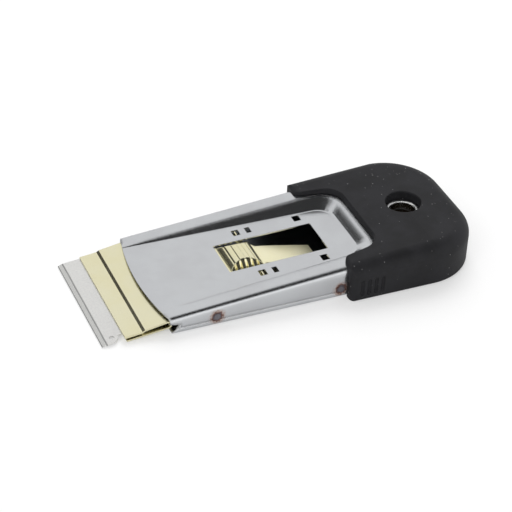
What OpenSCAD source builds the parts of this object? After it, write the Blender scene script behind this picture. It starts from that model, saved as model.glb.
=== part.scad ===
// Hob scraper: a steel body with a sliding blade holder, a sprung thumb pad and a moulded handle.
// X runs from the blade to the handle, Z is up, and the tool lies flat on Z = 0.
// Every module works from the cutting edge at X = 0, and placed() moves it to the part's origin.

/* [Whole tool] */
// Length from the cutting edge to the back of the handle, with the blade out
tool_length = 117.5; // [114:0.5:126]
// Thickness of the steel sheet of both body shells
sheet = 0.4; // [0.3:0.05:0.5]
// Gap between the sliding parts and the body's side walls
side_gap = 0.4; // [0.3:0.05:0.7]
// How far the blade slides back
travel = 19.5; // [18:0.5:20.5]

/* [Body] */
// Height of the body at its mouth
mouth_height = 5.4; // [5:0.1:6]
// Height of the steel body inside the handle
rear_height = 10; // [9.4:0.1:10.2]
// How far the middle of the mouth bulges ahead of its corners
mouth_bulge = 2.7; // [1.5:0.1:3.5]
// Radius of the rounded edge along the rim
rim_round = 1.4; // [1:0.1:1.8]
// Width of the flat rim beside the sunk plate, rounded edge included
rim_width = 5.1; // [4.5:0.1:5.6]
// Upward slope of the sunk plate in degrees
plate_slope = 2; // [1.5:0.1:2.4]
// Height of the side seam between the two shells
seam_height = 2; // [1.6:0.1:2.2]
// Height of the lower shell's inner flange
flange_height = 4.1; // [3.8:0.1:4.2]

/* [Window] */
// Distance from the mouth's corners to the window
window_setback = 23.5; // [22.5:0.5:24.5]
// Width of the window
window_width = 13.4; // [12.6:0.2:14]
// Distance of the latch slots from the middle
latch_offset = 10.4; // [10:0.1:10.8]

/* [Blade] */
// Length of the cutting edge
blade_width = 40; // [38:1:42]
// Depth of the blade, front to back
blade_depth = 19; // [18.5:0.5:19.5]
// Thickness of the blade
blade_thick = 0.4; // [0.3:0.05:0.45]
// How far the blade stands out of its holder
blade_show = 6.8; // [6:0.2:8]
// Width of the ground bevel
bevel = 1.4; // [1:0.1:1.8]

/* [Holder] */
// Thickness of the brass sheet
brass = 0.5; // [0.4:0.05:0.5]
// Angle at which the holder carries the blade down to the hob
blade_slope = 6.5; // [6:0.1:7]
// Height of the folded rear of the holder
fold_height = 2.5; // [2.4:0.05:2.6]
// Gap between the spring leaf's tail and the body's floor
floor_gap = 0.3; // [0.2:0.05:0.4]
// Half width of the leaf that carries the thumb pad
leaf_half = 6; // [5.6:0.1:6.2]

/* [Thumb pad] */
// Length of the pad
pad_length = 10.8; // [10:0.2:11.6]
// Number of ribs across the pad
pad_ribs = 7; // [5:1:8]
// Height of the pad's crown above the bench
pad_crown = 7.7; // [7.4:0.1:8]
// Gap between the pad and the window's edges
pad_gap = 0.3; // [0.25:0.05:0.4]

/* [Handle] */
// Length of the handle
handle_length = 43.8; // [42.8:0.2:45.8]
// Width of the handle
handle_width = 49.6; // [48.6:0.2:52]
// Height of the handle at its back
handle_height = 13.1; // [12.8:0.1:14]
// Height of the handle's arms at their front
arm_height = 11.3; // [11.1:0.1:12]
// Radius of the handle's back corners, seen from above
corner_round = 17; // [15:0.5:18]
// Radius from the handle's top to its sides
top_round = 4.5; // [4:0.5:5]
// Depth of the cut-out between the arms
cutout_depth = 12.8; // [12:0.2:14]
// Distance from the hanging hole to the back of the handle
hole_setback = 16.3; // [15.9:0.2:17.5]
// Radius of the hole in the handle
handle_hole = 5.4; // [5.2:0.1:5.8]
// Radius of the eyelet's bore
eyelet_bore = 3.9; // [3.5:0.1:4.1]

/* [Hidden] */
$fn = 64;

// Widths of the nested parts, from the blade outwards
holder_half = blade_width / 2;
tray_half = holder_half + side_gap + sheet;
body_half = tray_half + sheet;
handle_half = handle_width / 2;

// Places along the tool
edge_cover = 0.1;
mouth_x = travel + edge_cover;
wall_front = mouth_x + 3.3;
wall_top = mouth_height - rim_round - 0.4;
floor_front = mouth_x + 0.7;
window_front = mouth_x + window_setback;
window_length = pad_length + travel + 2 * pad_gap;
window_half = window_width / 2;
handle_front = tool_length - handle_length;
bend_x = handle_front + 1.3;
corner_x = tool_length - corner_round;
hole_x = tool_length - hole_setback;
cutout_end = handle_front + cutout_depth;

// The rim climbs from the mouth to the bend, and the sunk plate climbs less
rim_slope = atan((rear_height - mouth_height) / (bend_x - mouth_x));
recess_half = body_half - rim_width;
recess_end = cutout_end - 0.5;
wall_run = 4.2;
wall_foot = 0.3;
press_spare = 0.05;
press_reach = mouth_bulge + 0.3;
mouth_drop = (press_reach + 0.1) * (tan(rim_slope) - tan(plate_slope));
plate_corner = 5;
recess_corner = 6.5;
function plate_top(x) = mouth_height - mouth_drop + (x - mouth_x) * tan(plate_slope);
function rim_top(x) = min(mouth_height + (x - mouth_x) * tan(rim_slope), rear_height);

// The pressed wall is straight between a soft bend at its foot and another at its head
wall_bend = 0.25;
wall_steps = [0, 0.09, 0.17, 0.25, 0.75, 0.83, 0.93];
function wall_climb(step) =
    step < wall_bend ? step * step / (2 * wall_bend * (1 - wall_bend))
    : step > 1 - wall_bend ? 1 - wall_climb(1 - step)
    : (step - wall_bend / 2) / (1 - wall_bend);

// Heights in the holder, measured level from the underside of the blade before it is tilted
edge_height = 0.25;
blade_gap = 0.3;
lower_level = -blade_gap - brass;
tab_top = lower_level + brass;
strip_top = blade_thick + brass;
fold_top = lower_level + fold_height;
fold_round = fold_height / 2;
fold_x = blade_depth + 0.5;
step_x = blade_show + 5.2;
step_long = 0.8;
step_rise = 0.4;
function tab_height(x) = edge_height + x * tan(blade_slope) + tab_top / cos(blade_slope);

// The spring leaf
leaf_slot_half = leaf_half + 1;
leaf_thick = 0.4;
tab_end = fold_x + 10.5;
leaf_front = fold_x + 2.1;
rivet_x = leaf_front + 3.5;
rivet_offset = 3.2;
rivet_round = 0.8;
pad_front = window_front + pad_gap;
pad_back = pad_front + pad_length;
pad_half = window_half - pad_gap;
pad_lip = 0.9;
pad_end_round = 2.7;
leaf_level = 4.8;
leaf_top = leaf_level + leaf_thick;
leaf_rise_end = pad_front - 1.2;
tail_start = pad_back + 0.6;
tail_end = tail_start + 18;
tail_level = sheet + floor_gap;
tail_half = 4.3;
arm_middle = pad_front + 8.4;
arm_long = 2;
ear_wide = 1.8;
ear_top = plate_top(arm_middle) - 0.15;

// Latch slots in the plate, with the ears in the front pair while the blade is out
slot_long = 2.2;
slot_wide = 2.6;
middle_slot_step = 3.9;

// Welds, eyelet and the handle's inside
weld_round = 0.95;
seam_gap = 0.15;
floor_round = 1.2;
weld_height = (seam_height + flange_height) / 2;
weld_proud = 0.05;
weld_places = [mouth_x + 14, handle_front - 1.9];
eyelet_wall = 0.5;
eyelet_lip = 0.45;
barrel = eyelet_bore + eyelet_wall;
barrel_hole = barrel + 0.05;
eyelet_flange = handle_hole - barrel - 0.15;
seat_lift = eyelet_lip + 0.45;
seat_round = barrel + 1.8;
cap_fit = 0.1;
side_wall = handle_half - body_half;
flange_step = 1.2;
foot_round = 1;
front_round = 2.5;
arm_rise = atan((handle_height - arm_height) / (corner_x - handle_front));
lug_x = handle_front + 14.5;
lug_height = 6.2;
lug_long = 5;
lug_tall = 1.6;
lug_reach = 0.8;
lug_gap = 0.15;
far = 200;

module placed() {
    translate([-tool_length / 2, 0, 0]) children();
}

// Turns a drawing of width and height into a bar along X
module bar_along_x(length) {
    rotate([90, 0, 90]) linear_extrude(length) children();
}

// Turns a drawing of X and Z into a bar across the tool
module bar_across(half) {
    translate([0, half, 0]) rotate([90, 0, 0]) linear_extrude(2 * half) children();
}

module both_sides() {
    for (side = [-1, 1]) scale([1, side, 1]) children();
}

// Section with two rounded upper corners and its top edge at height top
module arch_section(half, top, round, deep) {
    translate([-half, -deep]) square([2 * half, deep + top - round]);
    translate([-half + round, -deep]) square([2 * (half - round), deep + top]);
    for (side = [-1, 1]) translate([side * (half - round), top - round]) circle(r = round);
}

// Section with two rounded lower corners
module tray_section(half, bottom, round, tall) {
    translate([-half, bottom + round]) square([2 * half, tall - round]);
    translate([-half + round, bottom]) square([2 * (half - round), tall]);
    for (side = [-1, 1]) translate([side * (half - round), bottom + round]) circle(r = round);
}

// Plan of the steel body: the side flanges end where the rounded back begins
module body_plan(grow) {
    round = corner_round - side_wall - flange_step + grow;
    centre = handle_half - corner_round;
    translate([0, -far / 2]) square([corner_x + grow, far]);
    translate([0, -centre]) square([corner_x + round, 2 * centre]);
    for (side = [-1, 1]) translate([corner_x, side * centre]) circle(r = round);
}

// The wedge that the top shell encloses, level inside the handle, grown or shrunk on its top and sides
module wedge(grow) {
    intersection() {
        translate([bend_x, 0, rear_height]) rotate([0, -rim_slope, 0]) translate([-bend_x, 0, 0])
            bar_along_x(tool_length * 2) arch_section(body_half + grow, grow, rim_round + grow, far);
        translate([0, -far / 2, -far / 2]) cube([far, far, far / 2 + rear_height + grow]);
    }
}

// Outline of the recess at one step of its wall, from 0 at the plate to 1 at the rim
function recess_outline(step, grow) =
    let(
        start = mouth_x - press_reach,
        front = recess_half - (1 - step) * wall_foot + grow,
        back = recess_half - (1 - step) * wall_run + grow,
        end = recess_end - (1 - step) * wall_run + grow,
        round = plate_corner + step * (recess_corner - plate_corner),
        middle = front + (back - front) * (bend_x - start) / (end - round - start),
        corner = [for (angle = [90 : -15 : 0])
            [end - round + round * cos(angle), back - round + round * sin(angle)]],
        side = concat([[start, front], [bend_x, middle]], corner),
        count = len(side))
    concat(
        [for (p = side) [p.x, -p.y]],
        [for (i = [1 : count]) side[count - i]]);

// One ring of points on the wall of the recess
function recess_ring(step, grow) = [for (p = recess_outline(step, grow / 2))
    [p.x, p.y, plate_top(p.x) + wall_climb(step) * (rim_top(p.x) - plate_top(p.x)) - grow]];

// The hollow over the sunk plate: its rings climb the wall and then go straight up past the rim
module recess(grow) {
    last_step = wall_steps[len(wall_steps) - 1];
    rings = concat(
        [for (step = wall_steps) recess_ring(step, grow)],
        [[for (p = recess_outline(last_step, grow / 2)) [p.x, p.y, rear_height + 1]]]);
    count = len(rings[0]);
    polyhedron(
        points = [for (ring = rings) each ring],
        faces = concat(
            [[for (i = [0 : count - 1]) i]],
            [[for (i = [1 : count]) len(rings) * count - i]],
            [for (r = [0 : len(rings) - 2]) for (i = [0 : count - 1]) let(j = (i + 1) % count) each [
                [(r + 1) * count + i, r * count + j, r * count + i],
                [(r + 1) * count + i, (r + 1) * count + j, r * count + j]]]));
}

module window() {
    translate([window_front, -window_half, mouth_height - 2])
        cube([window_length, window_width, rear_height]);
}

module latch_slots() {
    both_sides() {
        translate([arm_middle - slot_long / 2, latch_offset - slot_wide / 2, mouth_height - 2])
            cube([slot_long, slot_wide, rear_height]);
        translate([arm_middle + middle_slot_step - 0.75, latch_offset - slot_wide / 2, mouth_height - 2])
            cube([1.5, slot_wide, rear_height]);
        translate([arm_middle + travel - slot_long / 2, latch_offset - slot_wide / 2, mouth_height - 2])
            cube([slot_long, slot_wide, rear_height]);
    }
}

module weld_bodies(inner, outer) {
    both_sides() for (x = weld_places) translate([x, outer, weld_height])
        rotate([90, 0, 0]) cylinder(r = weld_round, h = outer - inner);
}

// The mouth's front edge is an arc across the top, and its side walls start further back
module mouth_arc() {
    arc = (body_half * body_half + mouth_bulge * mouth_bulge) / (2 * mouth_bulge);
    translate([mouth_x - mouth_bulge + arc, 0, -1]) cylinder(r = arc, h = far, $fn = 256);
}

module top_wall_cut() {
    bar_across(far / 2) polygon([[0, wall_top], [mouth_x + 0.6, wall_top],
        [wall_front, seam_height + 1.1], [wall_front, -1], [0, -1]]);
}

module lug_slots() {
    both_sides() translate([lug_x - lug_gap, body_half - 2, lug_height - lug_gap])
        cube([lug_long + 2 * lug_gap, 4, lug_tall + 2 * lug_gap]);
}

module top_shell() {
    color("silver") difference() {
        intersection() {
            union() {
                difference() {
                    wedge(0);
                    wedge(-sheet);
                }
                intersection() {
                    wedge(0);
                    recess(sheet + press_spare);
                }
            }
            mouth_arc();
            translate([0, 0, seam_height]) linear_extrude(far) body_plan(0);
        }
        recess(0);
        window();
        latch_slots();
        top_wall_cut();
        weld_bodies(body_half - 2, body_half + 2);
        lug_slots();
        translate([hole_x, 0, 0]) cylinder(r = barrel_hole, h = far);
    }
}

module tray_front_cut() {
    bar_across(far / 2) polygon([[0, sheet + 0.5], [floor_front + 0.3, sheet + 0.5],
        [wall_front, seam_height + 1.1], [wall_front, far], [0, far]]);
}

// The tray's walls are joggled inwards just below the seam, so that the top shell's walls sit flush on them
module tray_wall() {
    joggle = seam_height - seam_gap;
    difference() {
        union() {
            tray_section(body_half, 0, floor_round, joggle);
            tray_section(tray_half, 0, floor_round, flange_height);
        }
        tray_section(body_half - sheet, sheet, floor_round - sheet, joggle - 2 * sheet);
        tray_section(tray_half - sheet, sheet, floor_round - sheet, flange_height);
    }
}

// The floor is raised round the hanging hole, so that the eyelet's lower flange stays off the bench
module eyelet_seat() {
    translate([hole_x, 0, 0]) difference() {
        cylinder(r = seat_round + sheet, h = seat_lift + sheet);
        translate([0, 0, -1]) cylinder(r = seat_round, h = seat_lift + 1);
    }
}

module bottom_shell() {
    color("lightgrey") difference() {
        union() {
            difference() {
                intersection() {
                    translate([floor_front, 0, 0]) bar_along_x(tool_length) tray_wall();
                    linear_extrude(flange_height) body_plan(0);
                }
                tray_front_cut();
                translate([hole_x, 0, -1]) cylinder(r = seat_round, h = seat_lift + 1);
            }
            eyelet_seat();
        }
        weld_bodies(body_half - 2, body_half + 2);
        translate([hole_x, 0, -1]) cylinder(r = barrel_hole, h = far);
    }
}

module spot_welds() {
    color("dimgray") weld_bodies(tray_half - sheet, body_half + weld_proud);
}

// A hollow rivet: straight bore with a rolled lip at each end
module hanging_eyelet() {
    low = seat_lift;
    high = rear_height;
    color("gainsboro") translate([hole_x, 0, 0]) rotate_extrude() difference() {
        union() {
            translate([eyelet_bore, low - eyelet_lip]) square([eyelet_wall, high - low + 2 * eyelet_lip]);
            translate([barrel, high]) square([eyelet_flange - eyelet_lip, eyelet_lip]);
            translate([barrel, low - eyelet_lip]) square([eyelet_flange - eyelet_lip, eyelet_lip]);
            intersection() {
                for (z = [low, high]) translate([barrel + eyelet_flange - eyelet_lip, z])
                    circle(r = eyelet_lip);
                difference() {
                    translate([0, -1]) square([far, far]);
                    translate([0, low]) square([far, high - low]);
                }
            }
        }
        for (z = [low, high]) difference() {
            translate([eyelet_bore - 1, z == high ? z : z - 1]) square([1 + eyelet_lip, 1]);
            translate([eyelet_bore + eyelet_lip, z]) circle(r = eyelet_lip);
        }
    }
}

// Half section of the handle's wall with a rounded top edge and a small rounded foot
module cap_section(wide, tall) {
    square([wide - top_round, tall]);
    square([wide - foot_round, tall / 2]);
    translate([0, foot_round]) square([wide, tall - top_round - foot_round]);
    translate([wide - top_round, tall - top_round]) circle(r = top_round);
    translate([wide - foot_round, foot_round]) circle(r = foot_round);
}

// The handle all at one height, with two large corners at the back
module cap_level() {
    centre = handle_half - corner_round;
    both_sides() {
        bar_along_x(corner_x) cap_section(handle_half, handle_height);
        translate([corner_x, centre, 0]) rotate_extrude() cap_section(corner_round, handle_height);
    }
    translate([corner_x, 0, 0]) bar_across(centre) cap_section(corner_round, handle_height);
}

// Its arms are cut down to a slope by a bar just wide enough to leave their sides alone
module cap_outside() {
    spare = 0.1;
    intersection() {
        cap_level();
        translate([corner_x, 0, handle_height]) rotate([0, -arm_rise, 0]) translate([-far / 2, 0, 0])
            bar_along_x(far) arch_section(handle_half + spare, 0, top_round + 2 * spare, far);
    }
}

// Plan of what the handle leaves open, with round corners on its arms and a slightly flared mouth
module cutout_plan() {
    half = recess_half - 0.1;
    mouth_half = half + 0.9;
    corner = recess_corner - 0.5;
    square_to = handle_front + front_round;
    translate([0, -far / 2]) square([handle_front, far]);
    polygon([[0, -mouth_half], [square_to, -mouth_half], [square_to + 5, -half],
        [square_to + 5, half], [square_to, mouth_half], [0, mouth_half]]);
    translate([0, -half]) square([cutout_end - corner, 2 * half]);
    translate([0, -half + corner]) square([cutout_end, 2 * (half - corner)]);
    for (side = [-1, 1]) {
        translate([cutout_end - corner, side * (half - corner)]) circle(r = corner);
        translate([square_to, side * (mouth_half + front_round)]) arm_corner(-side);
        translate([square_to, side * (handle_half - front_round + 0.1)]) arm_corner(side);
    }
}

// What a rounded corner at the front of an arm leaves out, on its side towards +Y or -Y
module arm_corner(side) {
    size = front_round + 1;
    difference() {
        translate([-size, side > 0 ? 0 : -size]) square(size);
        circle(r = front_round);
    }
}

// What the rounded top edge at the front of the arms leaves out
module arm_top_edge() {
    round = 1.5;
    reach = 0.1;
    translate([handle_front + round - reach, arm_height - round + reach]) difference() {
        translate([-2 * round, 0]) square(2 * round);
        circle(r = round);
    }
}

// What a rounded edge round the hanging hole leaves out
module hole_edge() {
    round = 0.5;
    reach = 0.05;
    translate([hole_x, 0, handle_height - round + reach]) rotate_extrude() difference() {
        square([handle_hole + round - reach, 2 * round]);
        translate([handle_hole + round - reach, 0]) circle(r = round);
    }
}

module grip_grooves() {
    groove = 0.65;
    both_sides() for (i = [0 : 3]) translate([handle_front + 3.2 + i * 2.15, handle_half + 0.1, 2.3]) {
        cylinder(r = groove, h = 4.3);
        for (z = [0, 4.3]) translate([0, 0, z]) sphere(r = groove);
    }
}

module handle_cap() {
    color("#202020") {
        difference() {
            cap_outside();
            bar_across(far / 2) arm_top_edge();
            intersection() {
                wedge(cap_fit);
                translate([0, 0, -1]) linear_extrude(far) body_plan(cap_fit);
            }
            translate([0, 0, -1]) linear_extrude(far) cutout_plan();
            translate([hole_x, 0, 1]) cylinder(r = handle_hole, h = far);
            hole_edge();
            grip_grooves();
        }
        both_sides() translate([lug_x, body_half + cap_fit - lug_reach, lug_height])
            cube([lug_long, lug_reach + 0.2, lug_tall]);
    }
}

// The holder carries the blade nose down, so both are drawn level and tilted about the cutting edge
module tilted() {
    translate([0, 0, edge_height]) rotate([0, -blade_slope, 0]) children();
}

// The cutting bar has one rounded corner, and the shank behind it is narrower so that the holder clears it
module blade_plan() {
    bar = 5.4;
    round = 2.4;
    end = blade_show + 2;
    shank_half = holder_half - 2.6;
    translate([0, -holder_half]) square([bar - round, holder_half]);
    translate([0, -holder_half + round]) square([bar, holder_half]);
    translate([bar - round, -holder_half + round]) circle(r = round);
    square([end, holder_half]);
    translate([0, -shank_half]) square([blade_depth, 2 * shank_half]);
}

module blade() {
    hole = 0.7;
    color("whitesmoke") tilted() difference() {
        linear_extrude(blade_thick) blade_plan();
        bar_across(holder_half + 1) polygon([[-1, 0], [0, 0], [bevel, blade_thick], [bevel, 1], [-1, 1]]);
        translate([3.6, 2.3 - holder_half, -1]) cylinder(r = hole, h = 3);
    }
}

module ring(outer) {
    difference() {
        circle(r = outer);
        circle(r = outer - brass);
    }
}

module holder_side() {
    head_x = step_x + step_long;
    head_top = strip_top + step_rise;
    translate([blade_show + 0.4, lower_level]) square([fold_x - blade_show - 0.4, brass]);
    translate([fold_x, lower_level + fold_round]) intersection() {
        ring(fold_round);
        translate([0, -far / 2]) square([far, far]);
    }
    polygon([[blade_show, blade_thick], [step_x, blade_thick], [head_x, head_top - brass],
        [fold_x, fold_top - brass], [fold_x, fold_top], [head_x, head_top],
        [step_x, strip_top], [blade_show, strip_top]]);
}

// One folded sheet: lower leaf, rear fold, upper leaf stepped down to the blade, and a tab behind
module blade_holder() {
    nib_round = 1.2;
    color("gold") tilted() difference() {
        union() {
            difference() {
                bar_across(holder_half) holder_side();
                translate([fold_x - 0.8, -leaf_slot_half, tab_top]) cube([far, 2 * leaf_slot_half, far]);
                translate([fold_x, -leaf_slot_half, -far / 2]) cube([far, 2 * leaf_slot_half, far]);
            }
            translate([fold_x - 1, -leaf_half, lower_level])
                cube([tab_end - fold_x + 1, 2 * leaf_half, brass]);
            both_sides() translate([step_x - 1, holder_half / 2, lower_level + 0.1])
                cylinder(r = nib_round, h = -lower_level - 0.1);
        }
        rivets(0);
    }
}

// Side of the spring leaf: up along the tab, level under the pad, and down to the floor behind it
module leaf_side(from, to) {
    intersection() {
        polygon([
            [leaf_front, tab_height(leaf_front)], [tab_end, tab_height(tab_end)], [leaf_rise_end, leaf_level],
            [tail_start, leaf_level], [tail_end, tail_level], [tail_end, tail_level + leaf_thick],
            [tail_start, leaf_top], [leaf_rise_end, leaf_top], [tab_end, tab_height(tab_end) + leaf_thick],
            [leaf_front, tab_height(leaf_front) + leaf_thick]]);
        translate([from, 0]) square([to - from, far]);
    }
}

module spring_leaf() {
    color("goldenrod") difference() {
        union() {
            bar_across(leaf_half) leaf_side(leaf_front, tail_start);
            bar_across(tail_half) leaf_side(tail_start - 1, tail_end);
            translate([arm_middle - arm_long / 2, -latch_offset - ear_wide / 2, leaf_level])
                cube([arm_long, 2 * latch_offset + ear_wide, leaf_thick]);
            both_sides() translate([arm_middle - leaf_thick / 2, latch_offset - ear_wide / 2, leaf_level])
                cube([leaf_thick, ear_wide, ear_top - leaf_level]);
        }
        tilted() rivets(0);
    }
}

// Two rivets, sunk flush below the tab and domed above the spring leaf
module rivets(head) {
    seat = tab_top + leaf_thick;
    both_sides() translate([rivet_x, rivet_offset, lower_level]) {
        cylinder(r = rivet_round, h = seat - lower_level + head);
        cylinder(r1 = rivet_round + 0.4, r2 = rivet_round, h = 0.4);
    }
}

module leaf_rivets() {
    seat = tab_top + leaf_thick;
    dome = 2.3;
    head_round = 1.5;
    drop = sqrt(dome * dome - head_round * head_round);
    color("darkgoldenrod") tilted() {
        rivets(0.1);
        both_sides() translate([rivet_x, rivet_offset, seat - drop]) intersection() {
            sphere(r = dome);
            translate([-far / 2, -far / 2, drop]) cube(far);
        }
    }
}

// Side of the ribbed crown, with its heights taken from the middle of the rounding at its ends
module pad_profile(low) {
    pitch = (pad_length - pad_lip) / pad_ribs;
    bead = pitch * 0.56;
    middle = pad_front + pad_lip + pad_ribs * pitch / 2;
    function crown(x) = pad_crown - low - bead - pow(x - middle, 2) / 22;
    for (i = [0 : pad_ribs - 1]) {
        x = pad_front + pad_lip + (i + 0.5) * pitch;
        translate([x, crown(x)]) circle(r = bead);
        translate([x - pitch / 2, 0]) square([pitch, crown(x) + bead * 0.3]);
    }
}

// The pad is a ribbed crown that curves down at both ends, on a plain skirt, crimped round the spring leaf
module thumb_pad() {
    seat = leaf_top + 0.15;
    skirt = seat + 0.9;
    low = pad_crown - pad_end_round;
    crimp = pad_half - leaf_half - 0.12;
    color("palegoldenrod") {
        translate([pad_front, -pad_half, seat]) cube([pad_length, 2 * pad_half, skirt - seat]);
        intersection() {
            translate([0, 0, low]) union() {
                bar_across(pad_half - pad_end_round) pad_profile(low);
                both_sides() translate([0, pad_half - pad_end_round, 0]) intersection() {
                    rotate([0, 90, 0]) rotate_extrude() mirror([1, -1]) pad_profile(low);
                    translate([0, 0, -far / 2]) cube(far);
                }
            }
            translate([pad_front, -pad_half, seat + 0.2]) cube([pad_length, 2 * pad_half, far]);
        }
        both_sides() for (x = [pad_front + 1.2, pad_front + 4.4]) {
            translate([x, pad_half - crimp, leaf_level - 0.6]) cube([2, crimp, 1.4]);
            translate([x, pad_half - crimp - 0.9, leaf_level - 0.6]) cube([2, crimp + 0.9, 0.4]);
        }
    }
}

placed() top_shell();
placed() bottom_shell();
placed() spot_welds();
placed() hanging_eyelet();
placed() handle_cap();
placed() blade();
placed() blade_holder();
placed() spring_leaf();
placed() leaf_rivets();
placed() thumb_pad();
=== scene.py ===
# Dresses the hob scraper: metal finishes, moulded handle, leaf spring, studio and camera
import math

import bpy
from mathutils import Matrix, Vector


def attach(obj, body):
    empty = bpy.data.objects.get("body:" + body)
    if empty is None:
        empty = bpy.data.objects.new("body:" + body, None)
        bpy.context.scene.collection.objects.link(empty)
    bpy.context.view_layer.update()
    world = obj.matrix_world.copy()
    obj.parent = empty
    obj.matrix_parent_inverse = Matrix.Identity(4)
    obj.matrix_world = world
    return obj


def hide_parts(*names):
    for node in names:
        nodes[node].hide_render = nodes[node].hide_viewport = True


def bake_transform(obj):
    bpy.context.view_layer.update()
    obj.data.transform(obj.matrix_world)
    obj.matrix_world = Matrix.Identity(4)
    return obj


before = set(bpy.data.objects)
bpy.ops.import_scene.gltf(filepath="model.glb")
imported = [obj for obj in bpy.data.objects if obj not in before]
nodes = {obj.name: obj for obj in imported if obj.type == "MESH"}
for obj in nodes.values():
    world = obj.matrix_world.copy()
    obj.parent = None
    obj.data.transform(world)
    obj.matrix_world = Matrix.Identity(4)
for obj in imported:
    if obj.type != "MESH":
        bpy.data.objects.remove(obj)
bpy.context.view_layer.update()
print("frame loaded:", len(nodes), "CAD pieces")


# The tool's lengths are in millimetres, and its x is counted from the cutting edge, as in the part's source
tool = {"length": 117.5, "bodyHalf": 21.2}
mm = 0.001


def place(x, y, z):
    return Vector((x - tool["length"] / 2, y, z)) * mm


def newGroup(name, inputs, outputs):
    group = bpy.data.node_groups.new(name, "ShaderNodeTree")
    for label, kind, value in inputs:
        socket = group.interface.new_socket(label, in_out="INPUT", socket_type="NodeSocket" + kind)
        if value is not None:
            socket.default_value = value
    for label, kind in outputs:
        group.interface.new_socket(label, in_out="OUTPUT", socket_type="NodeSocket" + kind)
    return group, group.nodes.new("NodeGroupInput").outputs, group.nodes.new("NodeGroupOutput").inputs


class Wiring:  # short calls for adding and linking nodes in one tree
    def __init__(self, tree):
        self.tree = tree

    def add(self, kind, inputs=(), **settings):
        node = self.tree.nodes.new("ShaderNode" + kind)
        for key, value in settings.items():
            setattr(node, key, value)
        for key, value in dict(inputs).items():
            self.feed(node.inputs[key], value)
        return node

    def feed(self, socket, value):  # links a socket, or sets a plain value
        if isinstance(value, bpy.types.NodeSocket):
            self.tree.links.new(value, socket)
        elif isinstance(value, (tuple, list)) and len(value) == 3 and socket.type == "RGBA":
            socket.default_value = (*value, 1)
        else:
            socket.default_value = value

    def math(self, operation, a, b=0.0, c=0.0, clamp=False):
        return self.add("Math", {0: a, 1: b, 2: c}, operation=operation, use_clamp=clamp).outputs[0]

    def vector(self, operation, a, b=(0, 0, 0)):
        node = self.add("VectorMath", {0: a, 1: b}, operation=operation)
        return node.outputs["Value" if operation in ("DOT_PRODUCT", "DISTANCE") else "Vector"]

    def ramp(self, value, low, high, toLow=0.0, toHigh=1.0):  # eased step; low above high turns it round
        inputs = {"Value": value, "From Min": low, "From Max": high, "To Min": toLow, "To Max": toHigh}
        return self.add("MapRange", inputs, interpolation_type="SMOOTHSTEP").outputs["Result"]

    def rampMm(self, value, edges, toLow=0.0, toHigh=1.0):  # the same between two lengths in millimetres
        return self.ramp(value, edges[0] * mm, edges[1] * mm, toLow, toHigh)

    def mix(self, factor, a, b):
        node = self.add("Mix", {0: factor}, data_type="RGBA")
        self.feed(node.inputs[6], a)
        self.feed(node.inputs[7], b)
        return node.outputs[2]

    def noise(self, vector, scale, detail=3.0, roughness=0.5):
        inputs = {"Vector": vector, "Scale": scale, "Detail": detail, "Roughness": roughness}
        return self.add("TexNoise", inputs).outputs["Fac"]

    def split(self, vector):  # x, y and z
        return self.add("SeparateXYZ", {0: vector}).outputs


# Rolled grain: fine streaks along X over broad soft clouds; with Streak Length 1 it is an even grain
def makeGrain():
    group, given, out = newGroup(
        "rolledGrain",
        [("Vector", "Vector", None), ("Streak Length", "Float", 0.04), ("Fineness", "Float", 9000.0)],
        [("Streaks", "Float"), ("Clouds", "Float")],
    )
    net = Wiring(group)
    cloudScale = 90.0
    squeeze = net.add("CombineXYZ", {"X": given["Streak Length"], "Y": 1.0, "Z": 1.0}).outputs[0]
    along = net.vector("MULTIPLY", given["Vector"], squeeze)
    net.feed(out["Streaks"], net.noise(along, given["Fineness"], 4.0, 0.6))
    net.feed(out["Clouds"], net.noise(given["Vector"], cloudScale, 3.0, 0.6))
    return group


# Short straight scratches at random angles, one at most in each cell
def makeScratches():
    group, given, out = newGroup(
        "shortScratches",
        [("Vector", "Vector", None), ("Cells", "Float", 180.0), ("Width", "Float", 0.006),
         ("Length", "Float", 0.3), ("Share", "Float", 0.5)],
        [("Mask", "Float")],
    )
    net = Wiring(group)
    fadeFrom = 0.6  # share of the length at which the ends begin to fade
    x, y, z = net.split(given["Vector"])
    flat = net.add("CombineXYZ", {"X": x, "Y": net.math("ADD", y, z)}).outputs[0]
    scaled = net.add("VectorMath", {0: flat, "Scale": given["Cells"]}, operation="SCALE").outputs[0]
    cell = net.add("TexVoronoi", {"Vector": scaled, "Scale": 1.0}, voronoi_dimensions="2D")
    local = net.vector("SUBTRACT", scaled, cell.outputs["Position"])
    chance = net.add("SeparateColor", {0: cell.outputs["Color"]}).outputs
    angle = net.math("MULTIPLY", chance[0], 2 * math.pi)
    turned = net.add("VectorRotate", {"Vector": local, "Angle": angle}, rotation_type="Z_AXIS").outputs[0]
    lengthwise, sideways, _ = net.split(turned)
    across = net.ramp(net.math("ABSOLUTE", sideways), given["Width"], 0.0)
    fade = net.math("MULTIPLY", given["Length"], fadeFrom)
    along = net.ramp(net.math("ABSOLUTE", lengthwise), given["Length"], fade)
    kept = net.math("LESS_THAN", chance[1], given["Share"])
    net.feed(out["Mask"], net.math("MULTIPLY", net.math("MULTIPLY", across, along), kept))
    return group


# Edges: a mask where the rounded normal turns away from the face's own, and that rounded normal; on the
# plastic the mask lays a painted sheen
def makeRoundedEdges():
    group, given, out = newGroup(
        "roundedEdges",
        [("Radius", "Float", 0.0002), ("Amount", "Float", 1.0)],
        [("Mask", "Float"), ("Normal", "Vector")],
    )
    net = Wiring(group)
    rounded = net.add("Bevel", {"Radius": given["Radius"]}, samples=6).outputs[0]
    own = net.add("NewGeometry").outputs["Normal"]
    turned = net.ramp(net.vector("DOT_PRODUCT", rounded, own), 0.999, 0.93)
    net.feed(out["Mask"], net.math("MULTIPLY", turned, given["Amount"], clamp=True))
    net.feed(out["Normal"], rounded)
    return group


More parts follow.
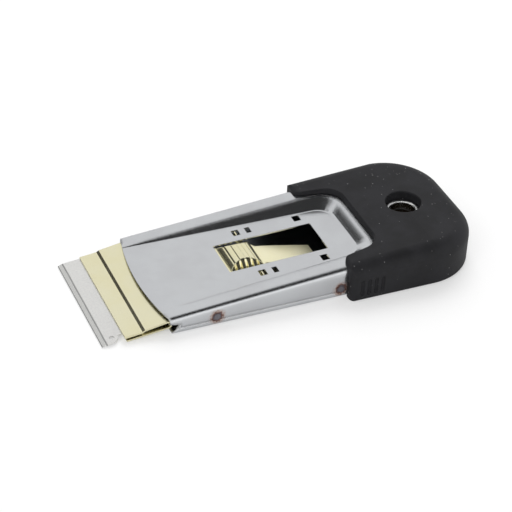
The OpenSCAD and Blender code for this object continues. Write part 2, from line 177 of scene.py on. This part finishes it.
# Small round specks of dust, or pits
def makeSpecks():
    group, given, out = newGroup(
        "specks",
        [("Vector", "Vector", None), ("Cells", "Float", 700.0),
         ("Size", "Float", 0.12), ("Share", "Float", 0.15)],
        [("Mask", "Float")],
    )
    net = Wiring(group)
    smallest = 0.4  # share of the given size
    cell = net.add("TexVoronoi", {"Vector": given["Vector"], "Scale": given["Cells"]})
    chance = net.add("SeparateColor", {0: cell.outputs["Color"]}).outputs
    size = net.math("MULTIPLY", given["Size"], net.math("ADD", smallest, chance[1]))
    dot = net.ramp(cell.outputs["Distance"], size, net.math("MULTIPLY", size, 0.5))
    kept = net.math("LESS_THAN", chance[0], given["Share"])
    net.feed(out["Mask"], net.math("MULTIPLY", dot, kept))
    return group


rolledGrain = makeGrain()
shortScratches = makeScratches()
roundedEdges = makeRoundedEdges()
specks = makeSpecks()
print("surface effects built")


class Finish(Wiring):  # a material with its Principled shader and object coordinates at hand
    def __init__(self, name):
        self.material = bpy.data.materials.new(name)
        self.material.use_nodes = True
        super().__init__(self.material.node_tree)
        self.shader = self.tree.nodes["Principled BSDF"]
        self.coords = self.add("TexCoord").outputs["Object"]

    def group(self, tree, **inputs):
        node = self.tree.nodes.new("ShaderNodeGroup")
        node.node_tree = tree
        for key, value in inputs.items():
            self.feed(node.inputs[key.replace("_", " ")], value)
        return node.outputs

    def mask(self, tree, **inputs):  # the mask of an effect that is laid over the object coordinates
        return self.group(tree, Vector=self.coords, **inputs)["Mask"]

    def set(self, **inputs):
        for key, value in inputs.items():
            self.feed(self.shader.inputs[key.replace("_", " ")], value)

    def bump(self, height, strength, distance, normal=None):
        inputs = {"Height": height, "Strength": strength, "Distance": distance}
        if normal is not None:
            inputs["Normal"] = normal
        return self.add("Bump", inputs).outputs[0]

    def more(self, base, mask, amount):  # a base value raised where the mask is white
        return self.math("ADD", base, self.math("MULTIPLY", mask, amount))


# Bright plated steel of the two body shells, heat-stained round the spot welds, dusty on the inner floor
shellFinish = {
    "colour": (0.685, 0.70, 0.72), "dull": (0.65, 0.66, 0.68), "worn": (0.86, 0.86, 0.86),
    "roughness": 0.15, "cloudRoughness": 0.08, "patchRoughness": 0.3,
    "scratchTone": 0.35, "scratchDeep": 0.8, "grainStrength": 0.12, "grainHeight": 0.02,
    "weldPlaces": (33.6, 71.8), "weldHeight": 3.05, "weldRadius": 1.35, "ragged": 2.4,
    "halo": (0.48, 0.33, 0.27), "haloEdges": (1.6, 0.0),
    "burnt": (0.15, 0.07, 0.055), "burntEdges": (0.6, 0.15), "burntTone": 0.9,
    "melted": (0.22, 0.19, 0.21), "meltedEdges": (0.05, -0.2),
    "plateClimb": 0.0349, "plateLevel": 6.615,  # slope of the sunk plate, its height at the tool's middle
    "rimAbove": (0.2, 0.5), "wallBeyond": (17.0, 18.0),  # where the bends are wide: above the plate, beyond y
    "punched": 0.12, "drawn": 1.2, "easing": 0.09,  # radii of sharp and wide bends, curve of the drawn wall
    "dust": (0.75, 0.74, 0.70), "dustFrom": (0.5, 0.6), "dustUpTo": (1.6, 1.4),
}


def weldDistance(mat):  # distance beyond the nearest weld's edge in millimetres, with a ragged outline
    x, y, z = mat.split(mat.coords)
    mirrored = mat.add("CombineXYZ", {"X": x, "Y": mat.math("ABSOLUTE", y), "Z": z}).outputs[0]
    height = shellFinish["weldHeight"]
    centres = [tuple(place(along, tool["bodyHalf"], height)) for along in shellFinish["weldPlaces"]]
    nearest = mat.math("MINIMUM", *[mat.vector("DISTANCE", mirrored, centre) for centre in centres])
    wobble = mat.math("SUBTRACT", mat.noise(mat.coords, 1500.0, 3.0, 0.7), 0.5)
    beyond = mat.math("MULTIPLY_ADD", nearest, 1 / mm, -shellFinish["weldRadius"])
    return mat.math("ADD", beyond, mat.math("MULTIPLY", wobble, shellFinish["ragged"]))


def weldStains(mat, colour):  # a brown halo, a burnt ring and melted metal; also gives the halo's mask
    look = shellFinish
    beyond = weldDistance(mat)
    halo = mat.ramp(beyond, *look["haloEdges"])
    colour = mat.mix(halo, colour, look["halo"])
    colour = mat.mix(mat.ramp(beyond, *look["burntEdges"], 0.0, look["burntTone"]), colour, look["burnt"])
    return mat.mix(mat.ramp(beyond, *look["meltedEdges"]), colour, look["melted"]), halo


def shellBends(mat):  # normal of the sheet: wide bends at rim and side walls, sharp ones at the punched holes
    look = shellFinish
    x, y, z = mat.split(mat.coords)
    plate = mat.math("MULTIPLY_ADD", x, look["plateClimb"], look["plateLevel"] * mm)
    above = mat.math("SUBTRACT", z, plate)
    outside = mat.rampMm(mat.math("ABSOLUTE", y), look["wallBeyond"])
    broad = mat.math("MAXIMUM", outside, mat.rampMm(above, look["rimAbove"]))
    radius = mat.math("MULTIPLY_ADD", broad, (look["drawn"] - look["punched"]) * mm, look["punched"] * mm)
    bent = mat.group(roundedEdges, Radius=radius)["Normal"]
    climb = mat.math("MAXIMUM", mat.math("DIVIDE", above, mm), 0.0)
    easing = mat.math("MULTIPLY", mat.math("MULTIPLY", climb, climb), -look["easing"])
    return mat.bump(easing, 1.0, mm, bent)  # the wall eases off as it climbs


def innerDust(mat):  # dust and scuffs, only on the floor inside the body
    look = shellFinish
    height = mat.split(mat.coords)[2]
    dust = mat.mask(specks, Cells=900.0, Size=0.2, Share=0.35)
    scuffs = mat.mask(shortScratches, Cells=300.0, Width=0.03, Length=0.5, Share=0.45)
    inside = mat.math("MULTIPLY", mat.rampMm(height, look["dustFrom"]), mat.rampMm(height, look["dustUpTo"]))
    return mat.math("MULTIPLY", mat.math("MAXIMUM", dust, scuffs), inside)


def makeShellSteel():
    mat = Finish("platedSteel")
    look = shellFinish
    grain = mat.group(rolledGrain, Vector=mat.coords)
    scratch = mat.mask(shortScratches, Cells=160.0, Width=0.005, Length=0.4, Share=0.35)
    edge = mat.group(roundedEdges, Radius=look["punched"] * mm)["Mask"]
    colour = mat.mix(mat.ramp(grain["Clouds"], 0.3, 0.75), look["colour"], look["dull"])
    colour = mat.mix(mat.math("MULTIPLY", scratch, look["scratchTone"]), colour, look["worn"])
    colour = mat.mix(edge, colour, look["worn"])
    colour, halo = weldStains(mat, colour)
    dust = innerDust(mat)
    colour = mat.mix(dust, colour, look["dust"])
    roughness = mat.more(look["roughness"], grain["Clouds"], look["cloudRoughness"])
    roughness = mat.more(roughness, halo, look["patchRoughness"])
    height = mat.math("SUBTRACT", grain["Streaks"], mat.math("MULTIPLY", scratch, look["scratchDeep"]))
    normal = mat.bump(height, look["grainStrength"], look["grainHeight"] * mm, shellBends(mat))
    metal = mat.math("SUBTRACT", 1.0, dust)
    mat.set(Base_Color=colour, Metallic=metal, Roughness=roughness, Normal=normal)
    return mat.material


# The hollow rivet: bright where its flange shows, with painted shade making it dark brown down in the barrel
eyeletFinish = {
    "colour": (0.86, 0.86, 0.86), "shadeColour": (0.035, 0.024, 0.012), "shadeHeights": (8.3, 7.4),
    "roughness": 0.2, "patchRoughness": 0.35, "bend": 0.7, "grainStrength": 0.2, "grainHeight": 0.03,
}


def makeEyeletSteel():
    mat = Finish("eyeletSteel")
    look = eyeletFinish
    grain = mat.group(rolledGrain, Vector=mat.coords, Streak_Length=1.0, Fineness=2500.0)["Streaks"]
    depth = mat.rampMm(mat.split(mat.coords)[2], look["shadeHeights"])
    # painted shade: dark brown deeper down the barrel, mottled by the grain, which also roughens it
    barrelShade = mat.math("MULTIPLY", depth, mat.ramp(grain, 0.2, 0.45, 0.8, 1.0))
    bent = mat.group(roundedEdges, Radius=look["bend"] * mm)["Normal"]
    mat.set(Base_Color=mat.mix(barrelShade, look["colour"], look["shadeColour"]), Metallic=1.0)
    mat.set(Roughness=mat.more(look["roughness"], barrelShade, look["patchRoughness"]))
    mat.set(Normal=mat.bump(grain, look["grainStrength"], look["grainHeight"] * mm, bent))
    return mat.material


# Grey nuggets of the welds: dull, grainy metal with small pits
weldFinish = {
    "dark": (0.15, 0.145, 0.165), "pale": (0.30, 0.285, 0.31), "pit": (0.12, 0.09, 0.08), "pitTone": 0.6,
    "roughness": 0.38, "pitRoughness": 0.3, "grainStrength": 0.5, "grainHeight": 0.06,
}


def makeWeldMetal():
    mat = Finish("weldNugget")
    look = weldFinish
    grain = mat.group(rolledGrain, Vector=mat.coords, Streak_Length=1.0, Fineness=2200.0)["Streaks"]
    pits = mat.mask(specks, Cells=3500.0, Size=0.35, Share=0.4)
    colour = mat.mix(grain, look["dark"], look["pale"])
    colour = mat.mix(mat.math("MULTIPLY", pits, look["pitTone"]), colour, look["pit"])
    mat.set(Base_Color=colour, Metallic=1.0)
    mat.set(Roughness=mat.more(look["roughness"], pits, look["pitRoughness"]))
    mat.set(Normal=mat.bump(grain, look["grainStrength"], look["grainHeight"] * mm))
    return mat.material


# Ground blade steel: pale and rather matt, with scratches and tiny pits, a brighter bevel, a dark hairline
# along the bevel's ridge, and a painted shadow as a dark line along the cutting edge
bladeFinish = {
    "colour": (0.95, 0.945, 0.92), "dull": (0.86, 0.855, 0.84), "bright": (1.0, 1.0, 0.98),
    "scratch": (0.9, 0.9, 0.9), "scratchTone": 0.5, "pit": (0.22, 0.21, 0.20), "edgeTone": 0.3,
    "ground": 1.45, "blur": 0.1, "wander": 0.3, "line": 0.14, "lineTone": (0.34, 0.34, 0.34),
    "ridgeLine": 0.75, "edgeShadeLine": 0.8, "edgeShadeEnds": (0.32, 0.12), "rounding": 0.08,
    "roughness": 0.27, "cloudRoughness": 0.12, "bevelRoughness": 0.25,
    "grainStrength": 0.3, "grainHeight": 0.03,
}


def groundBevel(mat, colour, clouds):  # also gives the mask of the bevel
    look = bladeFinish
    back = mat.math("ADD", mat.split(mat.coords)[0], tool["length"] / 2 * mm)  # from the cutting edge
    wander = mat.math("MULTIPLY", mat.math("SUBTRACT", clouds, 0.5), look["wander"] * mm)
    ridge = mat.math("ABSOLUTE", mat.math("SUBTRACT", mat.math("ADD", back, wander), look["ground"] * mm))
    bevel = mat.rampMm(back, (look["ground"] + look["blur"], look["ground"] - look["blur"]))
    colour = mat.mix(bevel, colour, look["bright"])
    ridgeLine = mat.rampMm(ridge, (look["line"] * 2, look["line"]), 0.0, look["ridgeLine"])
    colour = mat.mix(ridgeLine, colour, look["lineTone"])
    # painted shadow: a dark line along the cutting edge
    edgeShadeLine = mat.rampMm(back, look["edgeShadeEnds"], 0.0, look["edgeShadeLine"])
    return mat.mix(edgeShadeLine, colour, look["lineTone"]), bevel


def makeBladeSteel():
    mat = Finish("bladeSteel")
    look = bladeFinish
    grain = mat.group(rolledGrain, Vector=mat.coords, Streak_Length=0.6, Fineness=3000.0)
    scratch = mat.mask(shortScratches, Cells=420.0, Width=0.02, Length=0.45, Share=0.5)
    pits = mat.mask(specks, Cells=1500.0, Size=0.16, Share=0.1)
    edge = mat.group(roundedEdges, Radius=look["rounding"] * mm, Amount=look["edgeTone"])
    colour = mat.mix(mat.ramp(grain["Streaks"], 0.3, 0.7), look["colour"], look["dull"])
    colour = mat.mix(mat.math("MULTIPLY", scratch, look["scratchTone"]), colour, look["scratch"])
    colour = mat.mix(mat.math("MAXIMUM", pits, edge["Mask"]), colour, look["pit"])
    colour, bevel = groundBevel(mat, colour, grain["Clouds"])
    roughness = mat.more(look["roughness"], grain["Clouds"], look["cloudRoughness"])
    roughness = mat.more(roughness, bevel, look["bevelRoughness"])
    height = mat.math("SUBTRACT", grain["Streaks"], mat.math("ADD", scratch, pits))
    mat.set(Base_Color=colour, Metallic=1.0, Roughness=roughness)
    mat.set(Normal=mat.bump(height, look["grainStrength"], look["grainHeight"] * mm, edge["Normal"]))
    return mat.material


# Thin bright brass plate over spring steel
brassFinish = {
    "colour": (0.92, 0.87, 0.58), "pale": (0.94, 0.90, 0.65), "edge": (0.80, 0.55, 0.22),
    "scratchTone": 0.4, "edgeTone": 0.5, "scratchDeep": 0.7, "cloudRoughness": 0.1, "rounding": 0.1,
    "grainStrength": 0.12, "grainHeight": 0.02,
}


def makeBrass(name, metal, dullness):
    mat = Finish(name)
    look = brassFinish
    grain = mat.group(rolledGrain, Vector=mat.coords, Fineness=6000.0)
    scratch = mat.mask(shortScratches, Cells=260.0, Width=0.008, Length=0.4, Share=0.4)
    edge = mat.group(roundedEdges, Radius=look["rounding"] * mm, Amount=look["edgeTone"])
    colour = mat.mix(mat.ramp(grain["Clouds"], 0.3, 0.7), look["colour"], look["pale"])
    colour = mat.mix(mat.math("MULTIPLY", scratch, look["scratchTone"]), colour, look["edge"])
    colour = mat.mix(edge["Mask"], colour, look["edge"])
    height = mat.math("SUBTRACT", grain["Streaks"], mat.math("MULTIPLY", scratch, look["scratchDeep"]))
    mat.set(Base_Color=colour, Metallic=metal)
    mat.set(Roughness=mat.more(dullness, grain["Clouds"], look["cloudRoughness"]))
    mat.set(Normal=mat.bump(height, look["grainStrength"], look["grainHeight"] * mm, edge["Normal"]))
    return mat.material


# Black moulded plastic with a fine spark texture, a few light specks, and a painted sheen lighter along its
# rounded edges
plasticFinish = {
    "colour": (0.012, 0.012, 0.0135), "rubbed": (0.021, 0.021, 0.024), "edge": (0.03, 0.03, 0.031),
    "speck": (0.42, 0.42, 0.42), "edgeTone": 0.4, "speckTone": 0.7, "rounding": 0.4,
    "roughness": 0.52, "rubbedRoughness": 0.14, "gloss": 0.27, "sparkStrength": 0.35, "sparkHeight": 0.05,
}


def makePlastic():
    mat = Finish("mouldedPlastic")
    look = plasticFinish
    spark = mat.noise(mat.coords, 5200.0, 2.0, 0.6)
    rubbed = mat.noise(mat.coords, 130.0, 3.0, 0.6)
    dots = mat.mask(specks, Cells=1000.0, Size=0.13, Share=0.3)
    edge = mat.group(roundedEdges, Radius=look["rounding"] * mm, Amount=look["edgeTone"])
    colour = mat.mix(mat.ramp(rubbed, 0.3, 0.7), look["colour"], look["rubbed"])
    # painted sheen: the rounded edges lighter
    colour = mat.mix(edge["Mask"], colour, look["edge"])
    colour = mat.mix(mat.math("MULTIPLY", dots, look["speckTone"]), colour, look["speck"])
    mat.set(Base_Color=colour, Roughness=mat.more(look["roughness"], rubbed, look["rubbedRoughness"]))
    mat.set(Normal=mat.bump(spark, look["sparkStrength"], look["sparkHeight"] * mm, edge["Normal"]))
    mat.set(Specular_IOR_Level=look["gloss"])
    return mat.material


finishes = {
    "platedSteel": makeShellSteel(),
    "eyeletSteel": makeEyeletSteel(),
    "weldNugget": makeWeldMetal(),
    "bladeSteel": makeBladeSteel(),
    "brassPlate": makeBrass("brassPlate", metal=1.0, dullness=0.17),
    # painted light: a lit copy of the same brass for the leaf's tail, part-metal and duller so that it
    # renders brighter down in the body
    "litTailBrass": makeBrass("litTailBrass", metal=0.4, dullness=0.3),
    "mouldedPlastic": makePlastic(),
}
nodeFinish = {
    "top_shell": "platedSteel", "bottom_shell": "platedSteel", "spot_welds": "weldNugget",
    "hanging_eyelet": "eyeletSteel", "handle_cap": "mouldedPlastic", "blade": "bladeSteel",
    "blade_holder": "brassPlate", "leaf_rivets": "brassPlate", "spring_leaf": "brassPlate",
    "thumb_pad": "brassPlate",
}


def dress(piece, finish):
    piece.data.materials.clear()
    piece.data.materials.append(finishes[finish])


for name, finish in nodeFinish.items():
    dress(nodes[name], finish)
print("CAD pieces dressed:", ", ".join(sorted(nodeFinish)))


# The leaf spring: its tail bears on the floor
leaf = {
    "thick": 0.4, "half": 6.0, "tailHalf": 4.3, "front": 21.6, "frontLevel": 2.62, "tabEnd": 30.0,
    "tabLevel": 3.57, "riseEnd": 42.2, "top": 5.0, "split": 48.0, "tailStart": 54.8, "tailEnd": 72.8,
    "floorLevel": 0.9, "armPlace": 51.8, "armLong": 2.0, "earOffset": 10.4, "earWide": 1.8, "earTop": 6.22,
}


def meshPiece(name, verts, faces, finish):
    mesh = bpy.data.meshes.new(name)
    mesh.from_pydata(verts, [], faces)
    piece = bpy.data.objects.new(name, mesh)
    bpy.context.collection.objects.link(piece)
    dress(piece, finish)
    return piece


# A strip of the leaf's sheet: line holds (x, z) points, halfWidth(x) gives half its width, middle is its y
def stripMesh(name, line, halfWidth, finish, middle=0):
    verts, faces = [], []
    for i, (x, z) in enumerate(line):
        before, after = line[max(i - 1, 0)], line[min(i + 1, len(line) - 1)]
        slope = Vector((after[0] - before[0], after[1] - before[1])).normalized()
        across = Vector((-slope[1], slope[0])) * leaf["thick"] / 2
        for side, up in ((-1, -1), (1, -1), (1, 1), (-1, 1)):
            verts.append(place(x + across[0] * up, middle + side * halfWidth(x), z + across[1] * up))
    for i in range(len(line) - 1):
        a, b = 4 * i, 4 * i + 4
        faces += [(a + k, a + (k + 1) % 4, b + (k + 1) % 4, b + k) for k in range(4)]
    last = 4 * (len(line) - 1)
    faces += [(3, 2, 1, 0), (last, last + 1, last + 2, last + 3)]
    return meshPiece(name, verts, faces, finish)


def smoothLine(points):  # rounds the corners of a side view
    for _ in range(3):
        cut = [points[0]]
        for a, b in zip(points, points[1:]):
            cut += [tuple(p + (q - p) * t for p, q in zip(a, b)) for t in (0.25, 0.75)]
        points = cut + [points[-1]]
    return points


def leafHalf(x):
    return leaf["tailHalf"] if x > leaf["tailStart"] else leaf["half"]


def makeLeafStrip():  # the leaf moves fully with the pad in its middle and not at all at its two ends
    top = leaf["top"]
    frontLine = smoothLine([(leaf["front"], leaf["frontLevel"]), (leaf["tabEnd"], leaf["tabLevel"]),
                            (leaf["riseEnd"], top), (leaf["split"], top)])
    tailLine = smoothLine([(leaf["split"], top), (leaf["tailStart"], top),
                           (leaf["tailEnd"], leaf["floorLevel"])])
    front = stripMesh("leaf_front", frontLine, leafHalf, "brassPlate")
    # the tail takes the lit copy of the brass, as painted light
    tail = stripMesh("leaf_tail", tailLine, leafHalf, "litTailBrass")
    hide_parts("spring_leaf")
    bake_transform(front)
    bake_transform(tail)


def makeLeafArm():  # the cross arm, and the two ears that latch in the body's slots, ride with the pad
    top, middle = leaf["top"], leaf["armPlace"]
    armEnds = [middle - leaf["armLong"] / 2, middle + leaf["armLong"] / 2]
    armHalf = leaf["earOffset"] + leaf["earWide"] / 2
    arm = stripMesh("leaf_arm", [(x, top) for x in armEnds], lambda x: armHalf, "brassPlate")
    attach(arm, "sprung_pad")
    earLine = smoothLine([(armEnds[0], top), (middle, top), (middle, leaf["earTop"])])
    earHalf = leaf["earWide"] / 2
    for side, y in (("far", leaf["earOffset"]), ("near", -leaf["earOffset"])):
        ear = stripMesh("leaf_ear_" + side, earLine, lambda x: earHalf, "brassPlate", y)
        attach(ear, "sprung_pad")


makeLeafStrip()
makeLeafArm()
print("leaf spring built")


# The thumb pad: a pressed dome with ribs across it, ending in slanting fingers with steeper gaps between them
pad = {
    "front": 43.4, "back": 54.2, "half": 6.4, "seat": 5.35, "lipLong": 0.45, "lip": 5.55, "lipDip": 0.1,
    "crown": 7.6, "crownPower": 0.85, "ribs": 6, "ribEdge": (0.3, 0.6),
    "fingerFoot": 6.2, "fingerSlope": 38.0, "fingerEase": 0.3, "gapFoot": 4.95, "gapSlope": 60.0,
    "softness": 0.25, "grooveDeep": 0.12, "grooveMore": 0.10, "stepsAlong": 120, "stepsAcross": 80,
}


def easeBetween(value, low, high):
    t = min(max((value - low) / (high - low), 0.0), 1.0)
    return t * t * (3 - 2 * t)


def softLower(a, b, softness):  # the lower of two heights, with the corner between them rounded
    apart = max(softness - abs(a - b), 0.0) / softness
    return min(a, b) - apart * apart * softness / 4


def slantTop(foot, slope, y):  # height of a slant that reaches the lip at foot, counted from the middle
    return pad["lip"] + (foot - abs(y)) * math.tan(math.radians(slope))


def padHeight(x, y):
    lip, softness = pad["lip"], pad["softness"]
    lowest = lip - pad["lipDip"]
    along = max((x - pad["front"] - pad["lipLong"]) / (pad["back"] - pad["front"] - pad["lipLong"]), 0.0)
    bulge = 2 * along - 1
    dome = lip + (pad["crown"] - lip) * max(1 - bulge * bulge, 0.0) ** pad["crownPower"]
    wave = abs(math.sin(math.pi * along * pad["ribs"]))
    fingerTop = slantTop(pad["fingerFoot"], pad["fingerSlope"], y)
    gapTop = slantTop(pad["gapFoot"], pad["gapSlope"], y)
    finger = softLower(dome, fingerTop, softness)
    groove = softLower(dome - pad["grooveDeep"] - pad["grooveMore"] * bulge * bulge, gapTop, softness)
    sloping = easeBetween(dome - fingerTop, 0.0, pad["fingerEase"])  # 1 where the fingers stand apart
    share = easeBetween(wave, pad["ribEdge"][0] * sloping, pad["ribEdge"][1])
    return max(lowest, max(groove, lowest) * (1 - share) + finger * share)


def padRim(rows, wide):  # the outline's vertices in order, for a grid of rows with wide vertices in each
    rim = [i * wide for i in range(rows)] + [(rows - 1) * wide + j for j in range(1, wide)]
    rim += [i * wide + wide - 1 for i in reversed(range(rows - 1))]
    return rim + list(reversed(range(1, wide - 1)))


def makePad():
    along, across = pad["stepsAlong"], pad["stepsAcross"]
    xs = [pad["front"] + (pad["back"] - pad["front"]) * i / along for i in range(along + 1)]
    ys = [pad["half"] * (2 * j / across - 1) for j in range(across + 1)]
    wide = len(ys)
    verts = [place(x, y, padHeight(x, y)) for x in xs for y in ys]
    faces = [(i * wide + j, (i + 1) * wide + j, (i + 1) * wide + j + 1, i * wide + j + 1)
             for i in range(along) for j in range(across)]
    rim = padRim(len(xs), wide)
    start, count = len(verts), len(rim)
    verts += [Vector((verts[k][0], verts[k][1], pad["seat"] * mm)) for k in rim]
    faces += [(start + k, start + (k + 1) % count, rim[(k + 1) % count], rim[k]) for k in range(count)]
    faces.append(tuple(start + k for k in reversed(range(count))))
    piece = meshPiece("ribbed_pad", verts, faces, "brassPlate")
    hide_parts("thumb_pad")
    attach(piece, "sprung_pad")


makePad()
print("thumb pad built")


# Studio, in metres: a pale table and room, whose dark ceiling and dark panel give the metal its contrast.
# The ceiling's edge is in degrees, from where it begins to where it is full. The edges of the panel and of
# the bright front are places on a sphere of radius 1.
studio = {
    "behind": 0.80, "front": 1.1, "frontEdges": (-0.1, -0.5), "dark": 0.035, "roomLight": 0.55,
    "ceilingTowards": (0.20, -0.12, 0.97), "ceilingEdge": (38.0, 33.0),
    "panelLeft": (-0.21, -0.31), "panelBack": (0.50, 0.64), "panelTop": (0.76, 0.68),
    "floorColour": (0.60, 0.60, 0.60), "floorCloud": 0.99, "floorLift": 0.42, "liftInMetal": 0.45,
    "floorSize": 3.0,
}


def makeRoom():
    world = bpy.data.worlds.new("studioRoom")
    bpy.context.scene.world = world
    world.use_nodes = True
    net = Wiring(world.node_tree)
    background = world.node_tree.nodes["Background"]
    way = net.add("TexCoord").outputs["Generated"]
    x, y, z = net.split(way)
    begins, full = (math.cos(math.radians(angle)) for angle in studio["ceilingEdge"])
    centre = tuple(Vector(studio["ceilingTowards"]).normalized())
    ceiling = net.ramp(net.vector("DOT_PRODUCT", way, centre), begins, full)
    panel = net.math("MULTIPLY", net.ramp(x, *studio["panelLeft"]), net.ramp(y, *studio["panelBack"]))
    panel = net.math("MULTIPLY", panel, net.ramp(z, *studio["panelTop"]))
    pale = net.mix(net.ramp(y, *studio["frontEdges"]), (studio["behind"],) * 3, (studio["front"],) * 3)
    reflected = net.mix(net.math("MAXIMUM", ceiling, panel), pale, (studio["dark"],) * 3)
    path = net.add("LightPath").outputs
    lit = net.mix(path["Is Glossy Ray"], (studio["roomLight"],) * 3, reflected)
    net.feed(background.inputs["Color"], net.mix(path["Is Camera Ray"], lit, (1, 1, 1)))


def makeFloor():
    bpy.ops.mesh.primitive_plane_add(size=studio["floorSize"], location=(0, 0, 0))
    floor = bpy.context.object
    floor.name = "table_top"
    mat = Finish("tableTop")
    mat.tree.nodes.remove(mat.shader)
    path = mat.add("LightPath").outputs
    seen = mat.math("MULTIPLY_ADD", path["Is Glossy Ray"], studio["liftInMetal"], path["Is Camera Ray"])
    cloudy = tuple(part * studio["floorCloud"] for part in studio["floorColour"])
    colour = mat.mix(mat.noise(mat.coords, 4.0, 2.0, 0.5), studio["floorColour"], cloudy)
    diffuse = mat.add("BsdfDiffuse", {"Color": colour}).outputs[0]
    lift = mat.add("Emission", {"Strength": mat.math("MULTIPLY", seen, studio["floorLift"])}).outputs[0]
    total = mat.add("AddShader", {0: diffuse, 1: lift}).outputs[0]
    mat.feed(mat.tree.nodes["Material Output"].inputs["Surface"], total)
    floor.data.materials.append(mat.material)


lamps = {
    "backLamp": {"at": (0.35, 0.55, 0.65), "size": 0.7, "watts": 5.0},
    "frontLamp": {"at": (-0.55, -0.50, 0.55), "size": 0.6, "watts": 2.0},
}


def makeLamps():
    for name, lamp in lamps.items():
        data = bpy.data.lights.new(name, "AREA")
        data.shape = "SQUARE"
        data.size = lamp["size"]
        data.energy = lamp["watts"]
        light = bpy.data.objects.new(name, data)
        light.location = lamp["at"]
        light.rotation_euler = (-Vector(lamp["at"])).to_track_quat("-Z", "Y").to_euler()
        light.visible_glossy = False  # the metal shows the room, not the lamps
        bpy.context.collection.objects.link(light)


# The camera, fitted to points of the tool: angles in degrees, lens and sensor in mm, distances in metres
cameraSetup = {
    "azimuth": -24.35, "elevation": 36.0, "roll": 2.8, "distance": 0.5462, "lens": 129.84, "sensor": 36.0,
    "target": (-0.00208, 0.00566, 0.0), "clip": (0.01, 20.0),
}


def makeCamera():
    azimuth, elevation, roll = (math.radians(cameraSetup[key]) for key in ("azimuth", "elevation", "roll"))
    back = Vector((math.sin(azimuth) * math.cos(elevation), -math.cos(azimuth) * math.cos(elevation),
                   math.sin(elevation)))
    right = Vector((math.cos(azimuth), math.sin(azimuth), 0))
    up = back.cross(right)
    sideways = math.cos(roll) * right + math.sin(roll) * up
    upwards = math.cos(roll) * up - math.sin(roll) * right
    data = bpy.data.cameras.new("camera")
    data.lens = cameraSetup["lens"]
    data.sensor_width = cameraSetup["sensor"]
    data.clip_start, data.clip_end = cameraSetup["clip"]
    camera = bpy.data.objects.new("camera", data)
    bpy.context.collection.objects.link(camera)
    eye = Vector(cameraSetup["target"]) + back * cameraSetup["distance"]
    turn = Matrix((sideways, upwards, back)).transposed().to_4x4()
    camera.matrix_world = Matrix.Translation(eye) @ turn
    bpy.context.scene.camera = camera


makeRoom()
makeFloor()
makeLamps()
makeCamera()
bpy.context.scene.view_settings.view_transform = "Standard"
print("studio and camera set")
